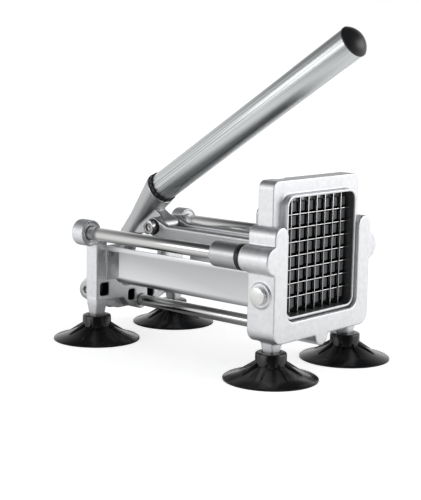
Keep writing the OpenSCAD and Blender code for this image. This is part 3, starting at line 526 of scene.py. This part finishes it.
def polished_casting():
    """Cast aluminium, belt-polished: darker and glossier than the frames, with soft waves left."""
    made = new_material("cast_aluminium_polished")
    tree = made.node_tree
    wave = 5 * MM
    grit = 1.0 * MM  # the belt's marks are about 0.2 mm, and they are drawn coarser to show
    place = add(tree, "ShaderNodeTexCoord").outputs["Object"]
    waves = add(tree, "ShaderNodeTexNoise", {"Scale": 1 / wave, "Detail": 2.0}, Vector=place)
    scratch = add(tree, "ShaderNodeTexNoise", {"Scale": 1 / grit, "Detail": 2.0}, Vector=place)
    gloss = add(tree, "ShaderNodeMapRange", {"To Min": 0.30, "To Max": 0.40},
                Value=waves.outputs["Fac"])
    soft = add(tree, "ShaderNodeBump", {"Strength": 0.12, "Distance": 0.3 * MM},
               Height=waves.outputs["Fac"])
    fine = add(tree, "ShaderNodeBump", {"Strength": 0.40, "Distance": 0.12 * MM},
               Height=scratch.outputs["Fac"], Normal=soft.outputs["Normal"])
    skin = add(tree, "ShaderNodeBsdfPrincipled",
               {"Base Color": linear("#b9babb"), "Metallic": 1.0},
               Roughness=gloss.outputs["Result"], Normal=fine.outputs["Normal"])
    add(tree, "ShaderNodeOutputMaterial", Surface=skin.outputs[0])
    return made


def sintered_bronze():
    """Oil-filled sintered bronze: brown and dull, with fine pores."""
    made = new_material("sintered_bronze")
    tree = made.node_tree
    pore = 0.5 * MM  # real pores are under 0.1 mm, and they are drawn coarser to show
    place = add(tree, "ShaderNodeTexCoord").outputs["Object"]
    pores = add(tree, "ShaderNodeTexNoise", {"Scale": 1 / pore, "Detail": 2.0}, Vector=place)
    bump = add(tree, "ShaderNodeBump", {"Strength": 0.2, "Distance": 0.1 * MM},
               Height=pores.outputs["Fac"])
    skin = add(tree, "ShaderNodeBsdfPrincipled",
               {"Base Color": linear("#9a7f52"), "Metallic": 1.0, "Roughness": 0.45},
               Normal=bump.outputs["Normal"])
    add(tree, "ShaderNodeOutputMaterial", Surface=skin.outputs[0])
    return made


polished = polished_casting()
lever_arm = casting("lever_arm", "lever_arm_casting",
                    grain=0.55 * MM, rounds=6, seats=[seat_of("pivot_bolt"), seat_of("link_pin")])
fit_out(lever_arm, "lever", "lever_arm", polished)
bushes = turned("pivot_bushes", "pivot_bushes_bronze", edge=0.15 * MM)
fit_out(bushes, "lever", "pivot_bushes", sintered_bronze())

# -----------------------------------------------------------------------------------------------
# Handle: a stainless tube, satin along its length, pressed over the arm's spigot. A black ribbed
# collar covers the joint, and a black domed plug closes the top end.
# -----------------------------------------------------------------------------------------------
tube_slope = radians(32.8)


def satin_tube():
    """Stainless tube, brushed end to end: it mirrors softly, with long light and dark streaks."""
    made = new_material("brushed_stainless_tube")
    tree = made.node_tree
    line = 1.3 * MM  # the streaks are drawn coarser than the brush leaves them, to show
    run = 260 * MM
    place = add(tree, "ShaderNodeTexCoord").outputs["Object"]
    turn = add(tree, "ShaderNodeMapping", {"Rotation": (0, tube_slope, 0)}, Vector=place)
    along = add(tree, "ShaderNodeMapping", {"Scale": (1 / run, 1 / line, 1 / line)},
                Vector=turn.outputs[0])
    lines = add(tree, "ShaderNodeTexNoise", {"Scale": 1.0, "Detail": 3.0}, Vector=along.outputs[0])
    streaks = add(tree, "ShaderNodeValToRGB", {"stops": [(0.40, "#a8abac"), (0.50, "#d9dcdd")]},
                  Fac=lines.outputs["Fac"])
    gloss = add(tree, "ShaderNodeMapRange", {"To Min": 0.32, "To Max": 0.42},
                Value=lines.outputs["Fac"])
    bump = add(tree, "ShaderNodeBump", {"Strength": 0.15, "Distance": 0.1 * MM},
               Height=lines.outputs["Fac"])
    skin = add(tree, "ShaderNodeBsdfPrincipled", {"Metallic": 1.0},
               Base_Color=streaks.outputs["Color"], Roughness=gloss.outputs["Result"],
               Normal=bump.outputs["Normal"])
    add(tree, "ShaderNodeOutputMaterial", Surface=skin.outputs[0])
    return made


tube = turned("handle_tube", "handle_tube_brushed", edge=0.2 * MM)
fit_out(tube, "lever", "handle_tube", satin_tube())
collar = casting("handle_collar", "handle_collar_moulded", grain=0.3 * MM, rounds=4)
fit_out(collar, "lever", "handle_collar", nylon)
cap = turned("handle_cap", "handle_cap_moulded", edge=0.4 * MM)
cap_abs = black_moulding("black_abs_glossy", 0.34, "#232325")
fit_out(cap, "lever", "handle_cap", cap_abs)

# -----------------------------------------------------------------------------------------------
# Link: a polished H-section casting between the arm and the pusher, with round ribs and an ear
# at each end for the pins.
# -----------------------------------------------------------------------------------------------
link = casting("link", "link_casting", grain=0.45 * MM, rounds=18,
               seats=[seat_of("link_pin"), seat_of("link_front_pins")])
fit_out(link, "link", "link", polished)

# -----------------------------------------------------------------------------------------------
# Pusher: a casting, polished as the arm, with a ribbed plate that carries the finger block and
# two arms that end in the sleeves on the guide rods.
# -----------------------------------------------------------------------------------------------
carriage = casting("pusher_carriage", "pusher_carriage_casting",
                   grain=0.5 * MM, rounds=5, seats=rod_seats)
fit_out(carriage, "pusher", "pusher_carriage", polished)

# -----------------------------------------------------------------------------------------------
# Finger block: black ABS, moulded with a grid of square fingers, one for each cell of the blades,
# and screwed to the pusher's plate. The fingers' tips are painted grey: a painted highlight.
# -----------------------------------------------------------------------------------------------
finger_root, finger_tip = 70.0 * MM, 86.8 * MM
pitch, grid_middle = 9.5 * MM, 83.5 * MM
corner_cut, corner_left = 0.16, 0.055  # the corners' cuts, as shares of a finger's width
base_edge, base_draft = 1 * MM, 0.965


def fingertip_plastic():
    """Black ABS, spark-textured in the mould. The tips' front faces are painted grey: painted
    highlight.
    """
    made = new_material("black_abs_textured")
    tree = made.node_tree
    spark = 0.9 * MM  # the mould's texture is about 0.2 mm, and it is drawn coarser to show
    place = add(tree, "ShaderNodeTexCoord").outputs["Object"]
    grain = add(tree, "ShaderNodeTexNoise", {"Scale": 1 / spark, "Detail": 2.0}, Vector=place)
    along = add(tree, "ShaderNodeSeparateXYZ", Vector=place)
    # the last half millimetre of each finger is painted a mottled grey: a painted highlight where
    # the tips face the front light
    painted_tip_highlight = add(tree, "ShaderNodeMapRange",
               {"From Min": finger_tip - 0.5 * MM, "From Max": finger_tip - 0.1 * MM},
               Value=along.outputs["X"])
    tip_highlight_mottle = add(tree, "ShaderNodeValToRGB", {"stops": [(0.35, "#5a5b5d"), (0.65, "#727376")]},
                 Fac=grain.outputs["Fac"])
    colour = add(tree, "ShaderNodeMix", {"data_type": "RGBA", 6: linear("#161617")},
                 at0=painted_tip_highlight.outputs["Result"], at7=tip_highlight_mottle.outputs["Color"])
    bump = add(tree, "ShaderNodeBump", {"Strength": 0.08, "Distance": 0.1 * MM},
               Height=grain.outputs["Fac"])
    skin = add(tree, "ShaderNodeBsdfPrincipled", {"IOR": 1.5, "Roughness": 0.45},
               Base_Color=colour.outputs[2], Normal=bump.outputs["Normal"])
    add(tree, "ShaderNodeOutputMaterial", Surface=skin.outputs[0])
    return made


def cell_middle(offset):
    """The middle of the cell that an offset from the middle of the grid falls in."""
    return (round(offset / pitch - 0.5) + 0.5) * pitch


block = copy_of("finger_block", "finger_block_moulded")
touching = 0.05 * MM
for vertex in block.data.vertices:
    point = vertex.co
    if point.x > finger_root - touching:
        # a finger's cut corners are drawn out, so that it is square with a small radius
        centre = Vector((0, cell_middle(point.y),
                         grid_middle + cell_middle(point.z - grid_middle)))
        across = [point.y - centre.y, point.z - centre.z]
        half = max(abs(across[0]), abs(across[1]))
        for i in (0, 1):
            if abs(abs(across[i]) - half * (1 - 2 * corner_cut)) < touching:
                across[i] = (1 if across[i] > 0 else -1) * half * (1 - 2 * corner_left)
        point.y, point.z = centre.y + across[0], centre.z + across[1]
    elif point.x < finger_root - base_edge:
        # the base narrows a little towards the plate, as it leaves the mould
        point.y *= base_draft
        point.z = grid_middle + (point.z - grid_middle) * base_draft
round_edges(block, edge=0.3 * MM)
fit_out(block, "pusher", "finger_block", fingertip_plastic())

# -----------------------------------------------------------------------------------------------
# Cassette: a cast frame, blasted as the others, that holds two crossed sets of thin stainless
# blades. The blades lie in grooves and interlock at half-depth notches.
# -----------------------------------------------------------------------------------------------
cassette = casting("cassette_frame", "cassette_frame_casting", grain=0.47 * MM, rounds=5)
fit_out(cassette, "frame", "cassette_frame", blasted)
window_half_w, window_half_h, window_corner = 38.2 * MM, 40.6 * MM, 6 * MM
ring_front, ring_lip = 94.5 * MM, 1.0 * MM


def in_window(point):
    """On the inside walls of the window, behind the ring's lip."""
    if point.x >= ring_front - ring_lip:
        return False
    slack = 0.25 * MM
    past_y = max(0, abs(point.y) - window_half_w + window_corner)
    past_z = max(0, abs(point.z - grid_middle) - window_half_h + window_corner)
    return hypot(past_y, past_z) < window_corner + slack


# the window's inside walls are painted a darker grey: painted shade inside the window, on a dull
# unblasted finish
unblasted_and_shade = cast_aluminium("cast_aluminium_unblasted_and_shade", "#7c7d7e", "#8a8b8c", 0.50)
shade_recess(cassette, unblasted_and_shade, in_window)


def blade_strip():
    """Hardened stainless strip: a painted highlight on faces that turn to the front, painted shade
    on its sides.
    """
    made = new_material("stainless_strip_painted_edge_light")
    tree = made.node_tree
    wave = 6 * MM
    place = add(tree, "ShaderNodeTexCoord")
    waves = add(tree, "ShaderNodeTexNoise", {"Scale": 1 / wave, "Detail": 1.0},
                Vector=place.outputs["Object"])
    # faces that turn to the front get the bright colour and the rest the dark one: a painted
    # highlight on the front edges and painted shade on the sides
    facing = add(tree, "ShaderNodeSeparateXYZ", Vector=place.outputs["Normal"])
    painted_edge_light = add(tree, "ShaderNodeMapRange", {"From Min": 0.2, "From Max": 0.7},
                      Value=facing.outputs["X"])
    colour = add(tree, "ShaderNodeMix",
                 {"data_type": "RGBA", 6: linear("#8c8d8f"), 7: linear("#ececed")},
                 at0=painted_edge_light.outputs["Result"])
    bump = add(tree, "ShaderNodeBump", {"Strength": 0.15, "Distance": 0.3 * MM},
               Height=waves.outputs["Fac"])
    skin = add(tree, "ShaderNodeBsdfPrincipled", {"Metallic": 1.0, "Roughness": 0.2},
               Base_Color=colour.outputs[2], Normal=bump.outputs["Normal"])
    add(tree, "ShaderNodeOutputMaterial", Surface=skin.outputs[0])
    return made


ground = blade_strip()
for node in ("blades_upright", "blades_level"):
    blades = turned(node, node + "_ground", edge=0.12 * MM)
    fit_out(blades, "frame", node, ground)
